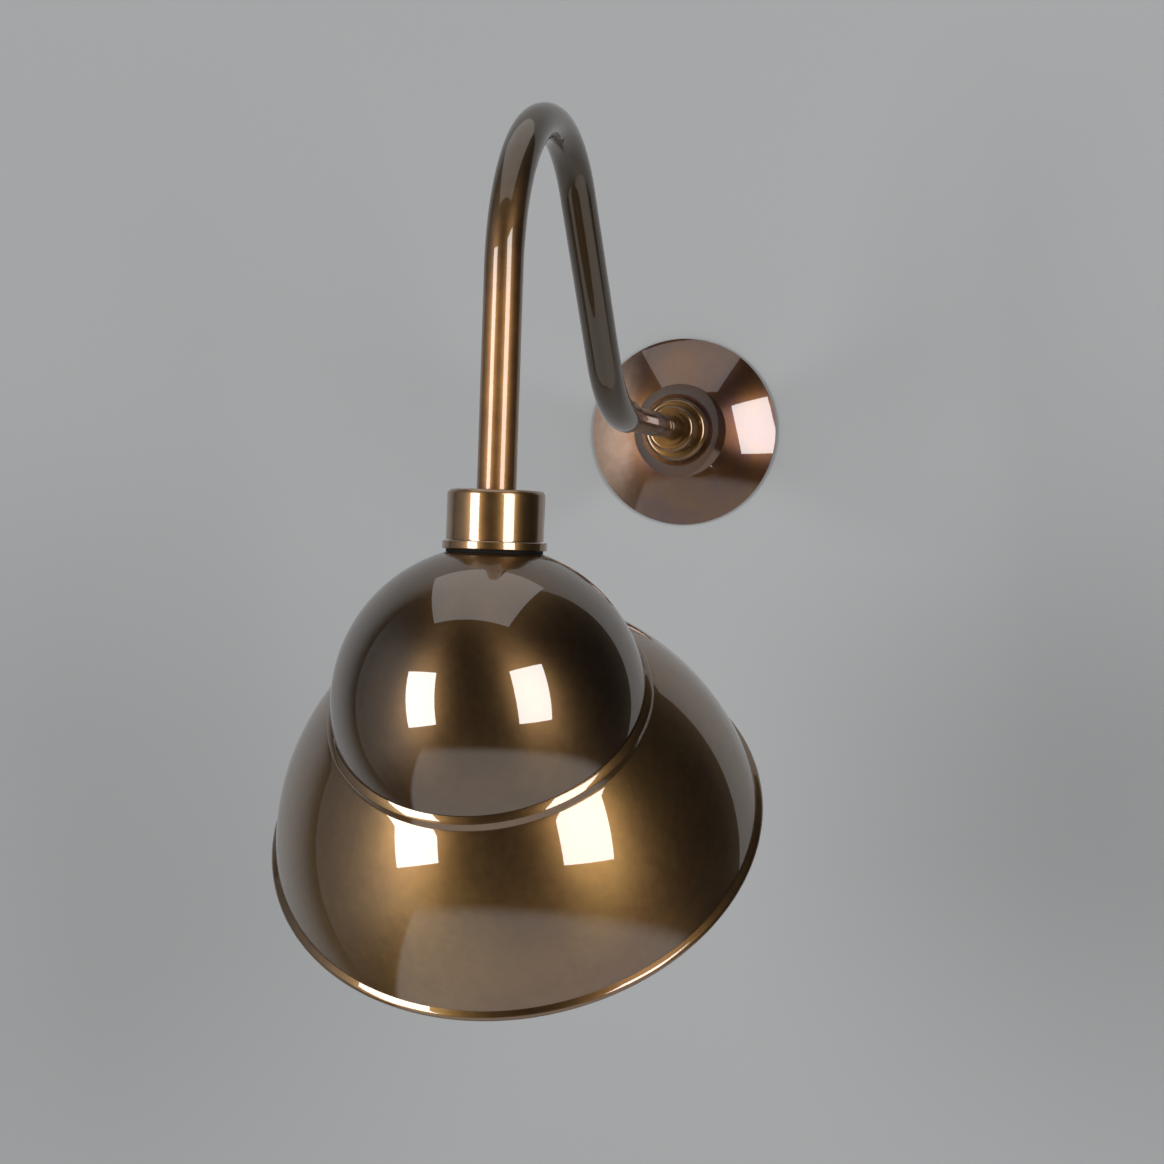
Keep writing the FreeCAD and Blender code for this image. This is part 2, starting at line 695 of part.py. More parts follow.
def cup_flange():
    """Ring that closes the cup and bears on the shade, with a lip inside the cup."""
    outside = size("flange_radius")
    hole = size("holder_radius") + size("fit_gap")
    lip = size("cup_radius") - size("cup_wall") - size("snug_gap")
    soften = size("flange_line")
    lip_top = size("cup_height") - size("flange_height")
    return lamp_piece("cup_flange", [
        (hole, lip_top), (lip, lip_top), (lip, flange_top), (outside - soften, flange_top),
        (outside, flange_top + soften), (outside, gasket_top - soften), (outside - soften, gasket_top),
        (hole, gasket_top),
    ])


def lock_nuts():
    """Two like nuts: one on the stem's tail behind the bridge, one on the nipple inside the cup."""
    bracket_nut = hexagon_nut("bracket_nut", size("tail_diameter") / 2 + size("snug_gap"))
    back = size("bridge_lift") - size("lock_washer") - size("nut_height")
    place(bracket_nut, y=-back, turn=as_size(90))
    cup_nut = hexagon_nut("cup_nut", size("nipple_diameter") / 2 + size("snug_gap"))
    place(cup_nut, y=-lamp_reach, z=tube_end - size("cup_wall") - size("nut_height"))
    return group("lock_nuts", [bracket_nut, cup_nut])


def shade_gasket():
    """Rubber gasket between the flange ring and the shade."""
    hole, outside = size("holder_radius") + size("fit_gap"), size("gasket_radius")
    return lamp_piece("shade_gasket", [
        (hole, gasket_top), (outside, gasket_top), (outside, seat_level), (hole, seat_level),
    ])


def holder_cap():
    """Domed cap of the lampholder, screwed on the nipple."""
    hole = size("nipple_diameter") / 2 + size("snug_gap")
    neck, outside, wall = size("holder_cap_neck"), size("holder_radius"), size("holder_wall")
    top, bottom = size("holder_cap_top"), size("holder_cap_bottom")
    neck_bottom = top + size("nut_height")
    side_top = neck_bottom + wall * 2
    return lamp_piece("holder_cap", [
        (hole, top), (neck, top), (neck, neck_bottom), (outside, side_top), (outside, bottom),
        (outside - wall, bottom), (outside - wall, side_top + wall), (neck, neck_bottom + wall),
        (hole, neck_bottom + wall),
    ])


def holder_body():
    """Skirt of the lampholder, threaded outside for the shade ring."""
    outside, bore = size("holder_radius"), size("holder_bore")
    seat = outside - size("holder_wall")
    top = size("holder_cap_bottom")
    bottom = top + size("holder_length")
    return lamp_piece("holder_body", [
        (seat, top), (outside, top), (outside, bottom), (bore, bottom), (bore, insert_bottom),
        (seat, insert_bottom),
    ])


def ceramic_insert():
    """Ceramic disc that carries the contacts, with a stepped middle."""
    outside = size("holder_radius") - size("holder_wall") - size("snug_gap")
    step = size("bulb_thread") / 2
    crown = insert_top + size("insert_height") / 4
    return lamp_piece("ceramic_insert", [
        (ZERO, insert_top), (step, insert_top), (step, crown), (outside, crown),
        (outside, insert_bottom), (ZERO, insert_bottom),
    ])


def screw_shell():
    """Threaded shell that takes the bulb, drawn with a plain wall."""
    inside = size("bulb_thread") + size("thread_gap")
    outside = inside + size("shell_wall")
    bottom = insert_bottom + size("shell_height")
    return lamp_piece("screw_shell", [
        (inside - size("holder_wall"), insert_bottom), (outside, insert_bottom), (outside, bottom),
        (inside, bottom), (inside, insert_bottom + size("shell_wall")),
        (inside - size("holder_wall"), insert_bottom + size("shell_wall")),
    ])


def centre_contact():
    """Sprung brass tongue under the ceramic, above the bulb's contact."""
    radius = size("bulb_tip")
    height = size("bulb_tip_height")
    spring = lamp_piece("centre_contact", [
        (ZERO, insert_bottom), (radius / 2, insert_bottom), (radius, insert_bottom + height),
        (ZERO, insert_bottom + height),
    ])
    return spring


def contact_screws():
    """Two terminal screws on the ceramic."""
    spacing = size("bulb_thread") * 0.8
    crown = insert_top + size("insert_height") / 4
    height = size("insert_height") / 4 - size("fit_gap")
    screws = []
    for side in (-1, 1):
        screws.append(cylinder(f"contact_screw_{side + 1}", height / 2, height, x=spacing * side,
                               y=-lamp_reach, z=tube_end - crown))
    return group("contact_screws", screws)


def shade_washer():
    """Fibre washer between the shade and its ring."""
    hole = size("holder_radius") + size("fit_gap")
    outside = size("dome_seat")
    bottom = washer_top + size("washer_height")
    return lamp_piece("shade_washer", [
        (hole, washer_top), (outside, washer_top), (outside, bottom), (hole, bottom),
    ])


def shade_ring():
    """Threaded ring that clamps the shade, with finger notches round its edge."""
    hole, outside = size("holder_radius") + size("thread_gap"), size("shade_ring_radius")
    top = washer_top + size("washer_height")
    bottom = top + size("shade_ring_height")
    made = lamp_piece("shade_ring", [(hole, top), (outside, top), (outside, bottom), (hole, bottom)])
    notch = sketch_on(made, "XY_Plane", "notch_outline", lift=-bottom)
    circle(notch, size("shade_ring_height") / 4, u=outside)
    first = pocket(made, "notch", notch, size("shade_ring_height") * 2, reverse=True)
    pattern = made.newObject("PartDesign::PolarPattern", "notches")
    pattern.Originals = [first]
    pattern.Axis = (notch, ["N_Axis"])
    pattern.Angle = 360.0
    pattern.Occurrences = 12
    made.Tip = pattern
    return made


# ------------------------------------------------------------------------------------------------
# Shade
# ------------------------------------------------------------------------------------------------
def dome():
    """Spun hemisphere with a flat seat and a hole for the lampholder, away from its own axis."""
    outside = size("dome_radius")
    inside = outside - size("shade_sheet")
    lip = size("dome_lip")
    lip_outside = root(outside * outside - lip * lip)
    lip_inside = root(inside * inside - lip * lip)
    made = shade_piece("dome", [
        (ZERO, -outside), (outside, ZERO), (lip_outside, lip), (lip_inside, lip), (inside, ZERO),
        (ZERO, -inside),
    ], {0: (outside, 1), 1: (outside, 1), 3: (inside, -1), 4: (inside, -1)})
    tilt = size("shade_tilt")
    cap = sketch_on(made, "XY_Plane", "seat_cut", lift=dome_seat_height, tilt=tilt)
    circle(cap, size("dome_seat") * 2)
    pocket(made, "seat_flat", cap, size("dome_seat"), reverse=True)
    seat = sketch_on(made, "XY_Plane", "seat_disc", lift=dome_seat_height, tilt=tilt)
    circle(seat, size("dome_seat"))
    pad(made, "seat_web", seat, size("shade_sheet"), reverse=True)
    hole = sketch_on(made, "XY_Plane", "holder_hole", lift=dome_seat_height, tilt=tilt)
    circle(hole, size("holder_radius") + size("fit_gap"))
    pocket(made, "holder_opening", hole, size("shade_sheet") * 3)
    return made


def bowl():
    """Spun flared bowl: a band with a sloping face at its neck, a convex side and a rolled edge."""
    sheet_thickness = size("shade_sheet")
    bore = size("dome_radius") + size("snug_gap")
    band_top, band_step = size("band_level"), size("band_step")
    neck = (size("dome_radius") + size("neck_step"), size("neck_level"))
    rim = (size("rim_radius"), size("rim_level"))
    curve = size("bowl_curve")
    inner_curve = curve - sheet_thickness
    centre = arc_centre(rim, neck, curve)
    inner_share = inner_curve / curve
    inner_rim = (
        centre[0] + (rim[0] - centre[0]) * inner_share,
        centre[1] + (rim[1] - centre[1]) * inner_share,
    )
    inner_level = neck[1] + sheet_thickness
    inner_drop = inner_level - centre[1]
    inner_neck = (centre[0] + root(inner_curve * inner_curve - inner_drop * inner_drop), inner_level)
    made = shade_piece("bowl", [
        (bore, band_top), (bore + band_step, band_top + band_step), neck, rim, inner_rim, inner_neck,
        (bore, size("dome_lip")),
    ], {0: (size("band_curve"), 1), 2: (curve, 1), 4: (inner_curve, -1)})
    roll = sketch_on(made, "XZ_Plane", "roll_section")
    circle(roll, size("rim_wire") / 2, u=rim[0], v=-rim[1])
    rolled = made.newObject("PartDesign::Revolution", "rolled_edge")
    rolled.Profile = roll
    rolled.ReferenceAxis = (roll, ["V_Axis"])
    rolled.Angle = 360.0
    return made


# ------------------------------------------------------------------------------------------------
# Bulb
# ------------------------------------------------------------------------------------------------
def bulb_contact():
    """Solder contact at the bulb's top."""
    radius, height = size("bulb_tip"), size("bulb_tip_height")
    bottom = bulb_top + height
    return lamp_piece("bulb_contact", [
        (ZERO, bulb_top), (radius * 0.7, bulb_top), (radius, bottom), (ZERO, bottom),
    ])


def bulb_cap():
    """Metal screw cap, closed at the top by its insulating shoulder."""
    tip, radius = size("bulb_tip"), size("bulb_thread")
    inside = radius - size("bulb_wall")
    top = bulb_top + size("bulb_tip_height")
    shoulder = top + size("bulb_tip_height") * 2
    bottom = top + size("bulb_cap_height")
    return lamp_piece("bulb_cap", [
        (ZERO, top), (tip, top), (radius, shoulder), (radius, bottom), (inside, bottom),
        (inside, shoulder + size("bulb_wall")), (ZERO, shoulder + size("bulb_wall")),
    ])


def bulb_glass():
    """Pear-shaped glass envelope: a round bottom, and sides that draw in to the cap."""
    neck, radius, wall = size("bulb_thread"), size("bulb_radius"), size("bulb_wall")
    top = bulb_top + size("bulb_tip_height") + size("bulb_cap_height")
    bottom = bulb_top + size("bulb_length")
    middle = bottom - radius
    waist = radius * 0.75
    waist_level = middle - radius * math.sqrt(1 - 0.75**2)
    inner_share = (radius - wall) / radius
    return lamp_piece("bulb_glass", [
        (neck - wall, top), (neck, top), (waist, waist_level), (radius, middle), (ZERO, bottom),
        (ZERO, bottom - wall), (radius - wall, middle),
        (waist * inner_share, middle - (middle - waist_level) * inner_share),
    ], {
        1: (radius * 2, -1), 2: (radius, 1), 3: (radius, 1), 5: (radius - wall, -1),
        6: (radius - wall, -1), 7: (radius * 2 + wall, 1),
    })


# ------------------------------------------------------------------------------------------------
# Build, check and write
# ------------------------------------------------------------------------------------------------
pieces = [
    wall_bracket(), arm_stem(), lock_nuts(), lock_washer(), wall_plate(), plate_seat_ring(),
    locking_collar(), collar_screw(), *earth_fixing(), *terminal_block(), arm_tube(),
    wire("live_wire", -1), wire("neutral_wire", 1), tube_plug(), nipple(), holder_cup(), cup_flange(),
    shade_gasket(), holder_cap(), holder_body(), ceramic_insert(), screw_shell(),
    centre_contact(), contact_screws(), shade_washer(), shade_ring(), dome(), bowl(), bulb_contact(),
    bulb_cap(), bulb_glass(),
]
doc.recompute()

faults = [o.Label for o in doc.Objects if "Invalid" in o.State or "Error" in o.State]
faults += [p.Label for p in pieces if p.Shape.isNull() or not p.Shape.isValid() or not p.Shape.Solids]
if faults:
    raise RuntimeError(f"these pieces failed: {sorted(set(faults))}")

os.makedirs("parts", exist_ok=True)
for piece in pieces:
    piece.Shape.exportStep(f"parts/{piece.Label}.step")
print(f"wrote {len(pieces)} pieces")
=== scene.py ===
"""Looks of a gooseneck wall sconce in antiqued brass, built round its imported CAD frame.

The wall is the plane Y = 0, the light stands out along -Y and Z is up.  Places are in metres and
shapes in millimetres.  An outline's points are (radius, distance): the distance is out from the
wall on the wall's axis, down from the tube's end on the lamp's axis, and down from the dome's
centre on the shade's own tilted axis.
"""
import json
import math

import bpy
import numpy as np
from mathutils import Matrix


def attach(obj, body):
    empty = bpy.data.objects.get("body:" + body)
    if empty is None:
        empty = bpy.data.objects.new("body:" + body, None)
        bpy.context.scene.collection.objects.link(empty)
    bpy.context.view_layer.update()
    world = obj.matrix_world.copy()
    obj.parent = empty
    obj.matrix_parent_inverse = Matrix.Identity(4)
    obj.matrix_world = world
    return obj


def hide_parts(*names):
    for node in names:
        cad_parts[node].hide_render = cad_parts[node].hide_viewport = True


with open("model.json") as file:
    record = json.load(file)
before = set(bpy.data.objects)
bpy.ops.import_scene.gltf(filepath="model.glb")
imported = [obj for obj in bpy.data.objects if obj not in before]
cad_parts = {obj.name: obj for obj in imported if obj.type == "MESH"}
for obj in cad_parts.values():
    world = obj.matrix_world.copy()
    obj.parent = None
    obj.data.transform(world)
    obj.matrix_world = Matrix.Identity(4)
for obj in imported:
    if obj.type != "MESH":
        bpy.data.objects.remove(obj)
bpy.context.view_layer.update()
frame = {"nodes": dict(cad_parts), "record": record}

# ------------------------------------------------------------------------------------------------
# Camera
# Fitted to the photograph's outlines: a long lens, a little to the right of the light and turned
# left towards it.  Yaw, pitch and roll are in degrees.
# ------------------------------------------------------------------------------------------------
CAMERA_AT = (0.278903, -1.416262, -0.066186)
YAW, PITCH, ROLL = 13.241, 0.693, 1.895
FOCAL_SHARE = 2646.919 / 1164  # focal length over the picture's width
SENSOR = 36


def turn(axis, degrees):
    return Matrix.Rotation(math.radians(degrees), 3, axis)


camera = bpy.data.objects.new("camera", bpy.data.cameras.new("camera"))
bpy.context.scene.collection.objects.link(camera)
camera.data.sensor_width = SENSOR
camera.data.lens = SENSOR * FOCAL_SHARE
camera.data.clip_end = 50
look = turn("Z", YAW) @ turn("X", 90) @ turn("X", -PITCH) @ turn("Z", ROLL)
camera.matrix_world = Matrix.Translation(CAMERA_AT) @ look.to_4x4()
bpy.context.scene.camera = camera
bpy.context.scene.view_settings.view_transform = "Standard"

# ------------------------------------------------------------------------------------------------
# Wall
# A plain wall in matt grey paint, with painted shade that darkens it far to the left, where the
# soft boxes' light falls off.  It is clear from behind, so that the light can be seen from the
# wall's side, and clear past its right-hand end for mirrored rays.
# ------------------------------------------------------------------------------------------------
# The second colour is painted shade: the darker grey the paint turns to far to the left, where the
# light falls off.
WALL_COLOUR, WALL_PAINTED_SHADE = "#A5A6A7", "#75736F"
WALL_HALF, WALL_FACE = 4000, 1  # half its length and height, and how far behind Y = 0 it stands
SHADE_FULL_X, SHADE_GONE_X = -2.4, -0.5  # X where the far colour ends and where the near one is reached
WALL_RIGHT = 0.42  # X where the wall ends for the metal that mirrors it


def linear(colour):
    """'#RRGGBB' as linear red, green, blue and 1."""
    parts = [int(colour[i:i + 2], 16) / 255 for i in (1, 3, 5)]
    return [p / 12.92 if p <= 0.04045 else ((p + 0.055) / 1.055) ** 2.4 for p in parts] + [1.0]


def node(tree, kind, inputs=None, **settings):
    """Adds a shader node.  inputs: {socket's name or number: an output to link, or a value}."""
    made = tree.nodes.new(kind)
    for name, value in settings.items():
        setattr(made, name, value)
    for name, value in (inputs or {}).items():
        if isinstance(value, bpy.types.NodeSocket):
            tree.links.new(value, made.inputs[name])
        else:
            made.inputs[name].default_value = value
    return made


def material(name, colour, **values):
    """A plain principled material, its values given by the shader's own input names."""
    made = bpy.data.materials.new(name)
    made.use_nodes = True
    shader = made.node_tree.nodes["Principled BSDF"]
    shader.inputs["Base Color"].default_value = linear(colour)
    for key, value in values.items():
        shader.inputs[key.replace("_", " ")].default_value = value
    return made


def mesh(name, points, faces, looks, sharp=35):
    """A smooth-shaded object from points in mm; faces run anticlockwise seen from outside."""
    data = bpy.data.meshes.new(name)
    data.from_pydata((np.asarray(points, float) / 1000).tolist(), [], faces)
    data.set_sharp_from_angle(angle=math.radians(sharp))
    data.materials.append(looks)
    made = bpy.data.objects.new(name, data)
    bpy.context.scene.collection.objects.link(made)
    return made


# Matt paint: it scatters all the light and shows no gloss.
wall_look = material("wall_paint", WALL_COLOUR, Roughness=0.9, Specular_IOR_Level=0.1)
wall = mesh("wall", [(-WALL_HALF, WALL_FACE, -WALL_HALF), (WALL_HALF, WALL_FACE, -WALL_HALF),
                     (WALL_HALF, WALL_FACE, WALL_HALF), (-WALL_HALF, WALL_FACE, WALL_HALF)],
            [(0, 1, 2, 3)], wall_look)
tree = wall_look.node_tree
shader = tree.nodes["Principled BSDF"]
place = node(tree, "ShaderNodeSeparateXYZ",
             {"Vector": node(tree, "ShaderNodeTexCoord").outputs["Object"]})
nearness = node(tree, "ShaderNodeMapRange",
                {"Value": place.outputs["X"], "From Min": SHADE_FULL_X, "From Max": SHADE_GONE_X},
                interpolation_type="SMOOTHSTEP")
# A colour mix takes its share at input 0 and its colours at 6 and 7, and gives its result at 2.
# Painted shade: the paint darkens smoothly towards the far left, where the light falls off.
tone = node(tree, "ShaderNodeMix", {0: nearness.outputs["Result"], 6: linear(WALL_PAINTED_SHADE),
                                    7: linear(WALL_COLOUR)}, data_type="RGBA")
tree.links.new(tone.outputs[2], shader.inputs["Base Color"])
beyond = node(tree, "ShaderNodeMath", {0: place.outputs["X"], 1: WALL_RIGHT},
              operation="GREATER_THAN")
mirrored = node(tree, "ShaderNodeLightPath").outputs["Is Glossy Ray"]
past_end = node(tree, "ShaderNodeMath", {0: mirrored, 1: beyond.outputs["Value"]},
                operation="MULTIPLY")
behind = node(tree, "ShaderNodeNewGeometry").outputs["Backfacing"]
clear = node(tree, "ShaderNodeMath", {0: past_end.outputs["Value"], 1: behind},
             operation="MAXIMUM")
blend = node(tree, "ShaderNodeMixShader", {
    0: clear.outputs["Value"],
    1: shader.outputs["BSDF"],
    2: node(tree, "ShaderNodeBsdfTransparent").outputs["BSDF"],
})
tree.links.new(blend.outputs["Shader"], tree.nodes["Material Output"].inputs["Surface"])

# ------------------------------------------------------------------------------------------------
# Soft boxes and card
# Two soft boxes stand in front of the light, as their square glints on the shade show.  A white
# card hangs over it, which only the metal sees.
# ------------------------------------------------------------------------------------------------
LAMP_Y, LAMP_Z = -0.386604, -0.043194  # the tube's end, on the lamp's axis
BOX_DISTANCE, AIM_DROP = 2.2, 0.09  # from the lamp's axis, and aimed this far below the tube's end
SOFT_BOXES = {  # name: (degrees right of the wall's normal, height, width, tall, roll, power)
    "soft_box_right": (45.6, 0.40, 0.98, 1.52, 9, 37),
    "soft_box_left": (-35.0, 0.15, 0.86, 1.37, 6, 33),
}
CARD_CORNERS, CARD_LEVEL = ((-330, -690), (200, -190)), 425  # (X, Y) of two corners, and Z
CARD_LIGHT = 0.95

for name, (degrees, height, width, tall, roll, power) in SOFT_BOXES.items():
    lamp = bpy.data.lights.new(name, "AREA")
    lamp.shape, lamp.size, lamp.size_y, lamp.energy = "RECTANGLE", width, tall, power
    box = bpy.data.objects.new(name, lamp)
    bpy.context.scene.collection.objects.link(box)
    sideways, ahead = math.sin(math.radians(degrees)), math.cos(math.radians(degrees))
    stand = (sideways * BOX_DISTANCE, LAMP_Y - ahead * BOX_DISTANCE, LAMP_Z - AIM_DROP + height)
    dip = math.degrees(math.atan2(height, BOX_DISTANCE))
    facing = turn("Z", degrees) @ turn("X", 90 - dip) @ turn("Z", roll)
    box.matrix_world = Matrix.Translation(stand) @ facing.to_4x4()

# Lit white card: an even white that gives the tops of the metal their broad, soft reflection.
card_look = material("card", "#000000", Emission_Color=(1, 1, 1, 1), Emission_Strength=CARD_LIGHT)
(left, far), (right, near) = CARD_CORNERS
card = mesh("card", [(left, far, CARD_LEVEL), (right, far, CARD_LEVEL), (right, near, CARD_LEVEL),
                     (left, near, CARD_LEVEL)], [(0, 1, 2, 3)], card_look)
card.visible_camera = card.visible_diffuse = card.visible_shadow = card.visible_transmission = False

# ------------------------------------------------------------------------------------------------
# Room
# What the metal mirrors besides: a dark room with a round of lit floor and a paler side on the
# left.  A camera that looks past the wall sees an even dark grey.
# ------------------------------------------------------------------------------------------------
FAR_ROOM, FLOOR_LIGHT, LEFT_LIGHT, SEEN_PAST_WALL = 0.02, 0.6, 0.4, 0.14
FLOOR_SKEW = 0.28  # the floor's left edge runs this far sideways for each unit towards the room

world = bpy.data.worlds.new("room")
bpy.context.scene.world = world
world.use_nodes = True
room = world.node_tree
direction = node(room, "ShaderNodeSeparateXYZ",
                 {"Vector": node(room, "ShaderNodeTexCoord").outputs["Generated"]}).outputs
# Parts are placed by the slopes across and towards the room, for each unit up or down.
upright = node(room, "ShaderNodeMath", {0: direction["Z"]}, operation="ABSOLUTE").outputs[0]
across, towards = (
    node(room, "ShaderNodeMath", {0: direction[way], 1: upright}, operation="DIVIDE").outputs[0]
    for way in "XY"
)
skew = node(room, "ShaderNodeMath", {0: towards, 1: FLOOR_SKEW}, operation="MULTIPLY").outputs[0]
skewed = node(room, "ShaderNodeMath", {0: across, 1: skew}, operation="SUBTRACT").outputs[0]
slope = node(room, "ShaderNodeCombineXYZ", {"X": across, "Y": towards}).outputs["Vector"]
steepness = node(room, "ShaderNodeVectorMath", {0: slope}, operation="LENGTH").outputs["Value"]
FLOOR_EDGES = (  # (what is measured, from, to, share before, share after, kind of fade)
    (direction["Z"], -0.1, 0.0, 1.0, 0.0, "SMOOTHSTEP"),
    (skewed, -0.78, -0.70, 0.0, 1.0, "SMOOTHSTEP"),
    (steepness, 1.5, 2.1, 1.0, 0.0, "SMOOTHSTEP"),
)
LEFT_EDGES = (
    (direction["X"], -0.85, -0.30, 1.0, 0.0, "SMOOTHSTEP"),
    (upright, 0.35, 0.85, 1.0, 0.0, "SMOOTHSTEP"),
    (direction["Y"], -0.6, 0.0, 1.0, 0.45, "LINEAR"),
)
light = FAR_ROOM
for strength, edges in ((FLOOR_LIGHT, FLOOR_EDGES), (LEFT_LIGHT, LEFT_EDGES)):
    part = 1.0
    for value, low, high, before, after, kind in edges:
        fade = node(room, "ShaderNodeMapRange",
                    {"Value": value, "From Min": low, "From Max": high, "To Min": before,
                     "To Max": after}, interpolation_type=kind).outputs["Result"]
        part = node(room, "ShaderNodeMath", {0: part, 1: fade}, operation="MULTIPLY").outputs[0]
    lit = node(room, "ShaderNodeMath", {0: part, 1: strength}, operation="MULTIPLY").outputs[0]
    light = node(room, "ShaderNodeMath", {0: lit, 1: light}, operation="ADD").outputs[0]
from_camera = node(room, "ShaderNodeLightPath").outputs["Is Camera Ray"]
seen = node(room, "ShaderNodeMix", {0: from_camera, "A": light, "B": SEEN_PAST_WALL},
            data_type="FLOAT")
room.links.new(seen.outputs["Result"], room.nodes["Background"].inputs["Strength"])
room.nodes["Background"].inputs["Color"].default_value = (1, 1, 1, 1)

# ------------------------------------------------------------------------------------------------
# Wall plate
# A canopy spun from brass sheet: a convex band, then a steep and nearly straight neck up to the
# crown.  It is bronzed and lacquered, and the locking collar presses it to the wall.
# ------------------------------------------------------------------------------------------------
PLATE_RADIUS, PLATE_EDGE, PLATE_CURVE = 50.5, 1.5, 115.0
SHOULDER = (25.2, 12.25)  # where the neck leaves the convex band
NECK_TOP, NECK_CURVE, CROWN_REACH = 19.4, 60.0, 19.5
CROWN_FALL = 0.15  # the crown falls this much to its edge
SHEET = 1.0
STEM_HOLE = 6.8
# Steps from corners of the sheet's outer face to those of its inner face.
NECK_TOP_IN, NECK_FOOT_IN = (-0.6, -SHEET), (-0.35, -0.94)
BAND_FOOT_IN, EDGE_IN = (0.3, -1.04), (-0.52, -0.85)
GRAINS = 260.0  # specks to the metre in every patina, so 4 mm each, coarse enough to show
DRAWN_OUT = 0.6  # how far the marks of the lathe draw the sheen out
MEET = 1e-6  # points closer than this are one


def arc(centre, radius, start, end, steps=12):
    """Points of an arc, its angles in degrees from the outward radius towards the distance axis."""
    angles = np.radians(np.linspace(start, end, steps + 1))
    return [(centre[0] + radius * np.cos(a), centre[1] + radius * np.sin(a)) for a in angles]


def arc_past(start, end, radius, steps=24):
    """The shorter arc between two points, with its centre on their right."""
    start, end = np.array(start, float), np.array(end, float)
    chord = end - start
    length = np.hypot(*chord)
    depth = math.sqrt(radius * radius - length * length / 4)
    centre = (start + end) / 2 + np.array([chord[1], -chord[0]]) / length * depth
    first, last = (math.degrees(math.atan2(*(p - centre)[::-1])) for p in (start, end))
    if last > first:
        last -= 360
    return arc(centre, radius, first, last, steps)


def on_wall_axis(radius, distance, angle):
    return radius * np.cos(angle), -distance, radius * np.sin(angle)


def skin(name, grid, looks, sharp=35):
    """A closed skin from a grid of points in millimetres, rows by columns by X, Y, Z.

    Each face joins a point and the one after it in its column to the two beside them.  The last
    row and column join the first, and a row on an axis becomes one point.  Six times the volume is
    the sum over the faces, with corners a, b, c and d, of a dotted into b cross c plus c cross d,
    and where it is less than nothing the faces are turned round, so that they look outwards.
    """
    index = np.arange(grid.shape[0] * grid.shape[1]).reshape(grid.shape[:2])
    on_axis = np.ptp(grid, axis=1).max(axis=1) < MEET
    index[on_axis] = index[on_axis, :1]
    after, beside = np.roll(index, -1, 0), np.roll(index, -1, 1)
    quads = np.stack([index, after, np.roll(after, -1, 1), beside], -1).reshape(-1, 4)
    faces = [face for face in (tuple(dict.fromkeys(q)) for q in quads.tolist()) if len(face) > 2]
    used, renumbered = np.unique(np.concatenate(faces), return_inverse=True)
    ends = np.cumsum([len(face) for face in faces])[:-1]
    faces = [tuple(part.tolist()) for part in np.split(renumbered, ends)]
    points = grid.reshape(-1, 3)[used]
    a, b, c, d = (points[[face[i] for face in faces]] for i in (0, 1, 2, -1))
    if (a * (np.cross(b, c) + np.cross(c, d))).sum() < 0:
        faces = [face[::-1] for face in faces]
    return mesh(name, points, faces, looks, sharp)


def turned(name, outline, axis, looks, around=128, wave=None, sharp=35):
    """A solid of revolution from a closed outline of (radius, distance) in millimetres.

    The point at an angle is (radius times cosine, distance, radius times sine) about the axis.
    wave(radius, distance, angle), where given, returns the radius there, for threads.
    """
    outline = np.array(outline, float)
    outline = outline[np.hypot(*(outline - np.roll(outline, 1, 0)).T) > MEET]
    angle = np.arange(around) * 2 * np.pi / around
    radius, angle = np.meshgrid(outline[:, 0], angle, indexing="ij")
    distance = np.repeat(outline[:, 1:2], around, 1)
    if wave:
        radius = wave(radius, distance, angle)
    return skin(name, np.stack(axis(radius, distance, angle), -1), looks, sharp)


